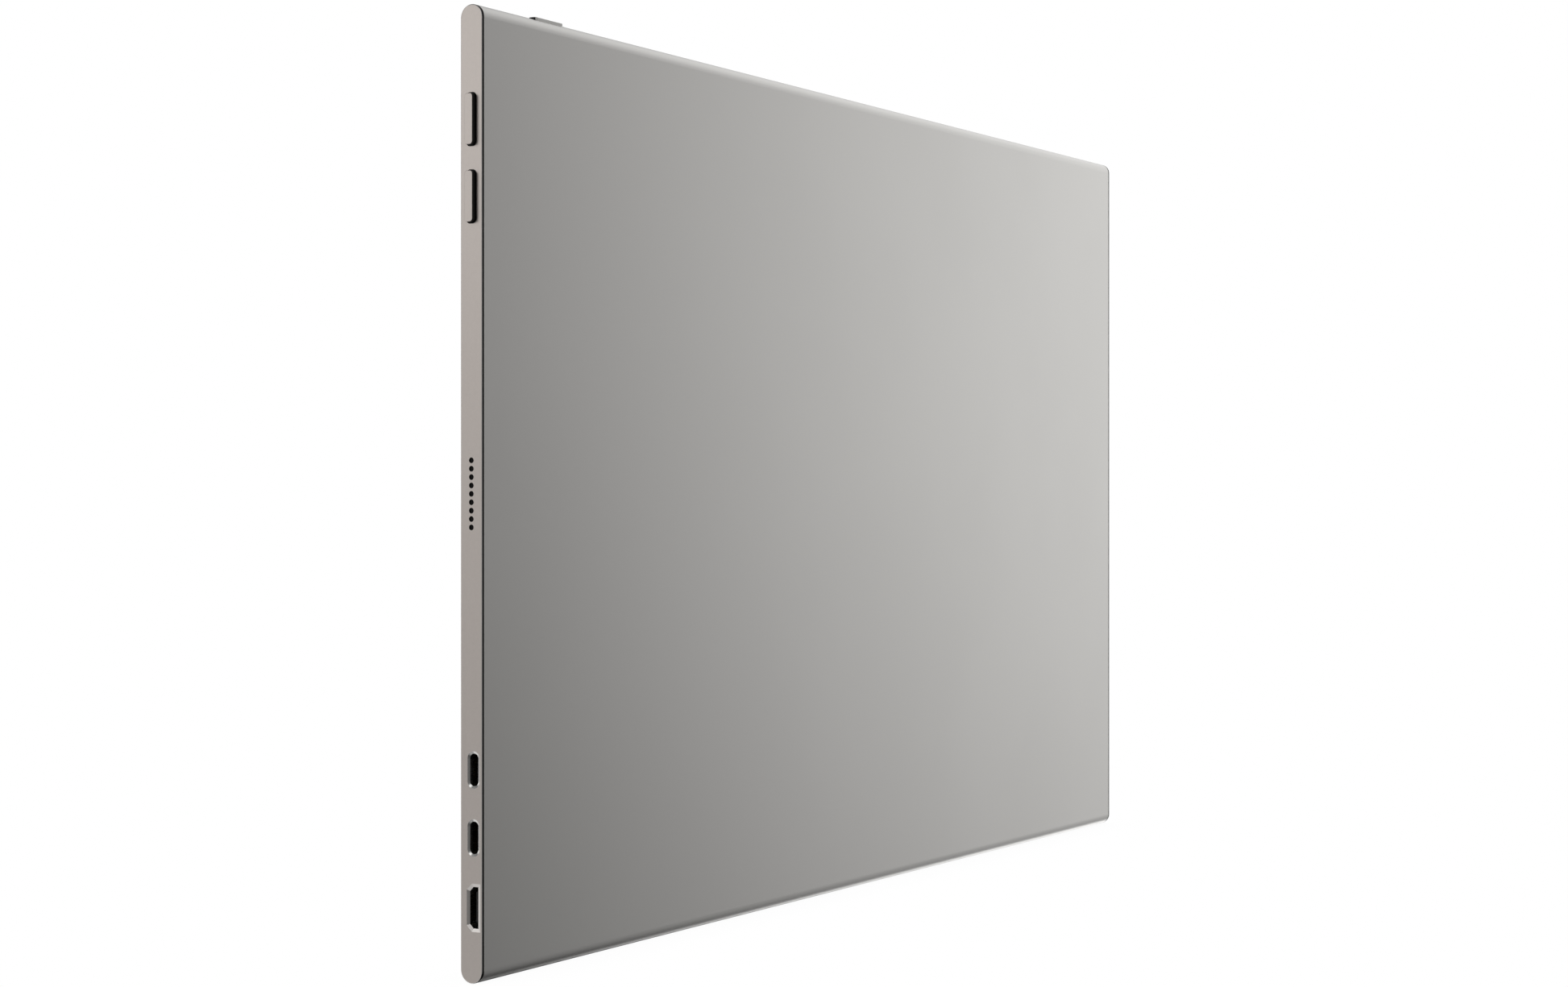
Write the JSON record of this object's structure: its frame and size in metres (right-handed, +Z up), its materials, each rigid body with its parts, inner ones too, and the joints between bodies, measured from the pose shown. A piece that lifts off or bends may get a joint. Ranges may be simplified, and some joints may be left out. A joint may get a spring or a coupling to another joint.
{
  "type": "portable monitor",
  "caption": "Thin flat portable monitor slab with a metal back, rounded long edges, a glass front, side ports, a row of speaker holes and push keys.",
  "frame": {"origin": "centre of the flat back face", "axes": "+X along the width towards the port end, +Y out of the back, +Z up; the screen faces -Y"},
  "size_m": [0.4003, 0.0069, 0.2516],
  "materials": {
    "anodised_shell": "bead-blasted warm grey anodised",
    "side_plate_metal": "satin warm beige anodised, bright bevels",
    "key_cap_metal": "satin warm beige anodised",
    "black_moulding": "fine matt black",
    "screen_glass": "polished, black border",
    "tape": "black foam tape",
    "clear_bond": "clear",
    "cell_glass": "dark polariser",
    "diffuser_film": "pearly white",
    "clear_acrylic": "clear",
    "white_film": "white",
    "tray_steel": "plain rolled",
    "led_board": "white",
    "frame_moulding": "matt dark grey",
    "flex_film": "amber film",
    "circuit_board": "green resist",
    "chip_epoxy": "matt black",
    "connector_plastic": "ivory",
    "can_steel": "tinned",
    "heat_pad": "soft grey",
    "port_steel": "bright drawn",
    "tongue_plastic": "black",
    "switch_plastic": "dark grey",
    "plunger_plastic": "natural",
    "speaker_plastic": "matt black",
    "speaker_cone": "dark grey",
    "dust_mesh": "black woven",
    "screw_steel": "zinc plated"
  },
  "bodies": {
    "chassis": {"back_cover": "anodised_shell", "backlight_tray": "tray_steel", "board_chips": "chip_epoxy", "board_connectors": "connector_plastic", "board_screws": "screw_steel", "cover_glass": "screen_glass", "display_ribbon": "flex_film", "frame_screws": "screw_steel", "glass_tape": "tape", "key_board": "circuit_board", "key_connectors": "connector_plastic", "key_flex": "flex_film", "lcd_cell": "cell_glass", "led_strip": "led_board", "left_end_frame": "black_moulding", "left_side_plate": "side_plate_metal", "left_speaker_box": "speaker_plastic", "left_speaker_driver": "speaker_cone", "left_speaker_lead": "flex_film", "left_speaker_mesh": "dust_mesh", "light_guide": "clear_acrylic", "lower_data_port_shell": "port_steel", "lower_data_port_tongue": "tongue_plastic", "lower_switch": "switch_plastic", "main_board": "circuit_board", "mid_frame": "frame_moulding", "optical_bond": "clear_bond", "optical_films": "diffuser_film", "panel_driver_board": "circuit_board", "panel_flexes": "flex_film", "power_key_board": "circuit_board", "power_key_flex": "flex_film", "power_key_guide": "black_moulding", "power_switch": "switch_plastic", "reflector": "white_film", "right_key_block": "black_moulding", "right_port_block": "black_moulding", "right_side_plate": "side_plate_metal", "right_speaker_block": "black_moulding", "right_speaker_box": "speaker_plastic", "right_speaker_driver": "speaker_cone", "right_speaker_lead": "flex_film", "right_speaker_mesh": "dust_mesh", "shield_can": "can_steel", "thermal_pad": "heat_pad", "upper_data_port_shell": "port_steel", "upper_data_port_tongue": "tongue_plastic", "upper_switch": "switch_plastic", "video_port_shell": "port_steel", "video_port_tongue": "tongue_plastic"},
    "upper_button": {"upper_key": "black_moulding", "upper_key_cap": "key_cap_metal", "upper_plunger": "plunger_plastic"},
    "lower_button": {"lower_key": "black_moulding", "lower_key_cap": "key_cap_metal", "lower_plunger": "plunger_plastic"},
    "power_button": {"power_key": "black_moulding", "power_key_cap": "key_cap_metal", "power_plunger": "plunger_plastic"}
  },
  "joints": [
    {"name": "upper_button_press", "type": "slide", "parent": "chassis", "child": "upper_button", "axis": [-1, 0, 0], "range_m": [0, 0.0004], "stiffness_N_per_m": 800},
    {"name": "lower_button_press", "type": "slide", "parent": "chassis", "child": "lower_button", "axis": [-1, 0, 0], "range_m": [0, 0.0004], "stiffness_N_per_m": 800},
    {"name": "power_button_press", "type": "slide", "parent": "chassis", "child": "power_button", "axis": [0, 0, -1], "range_m": [0, 0.0004], "stiffness_N_per_m": 800}
  ]
}
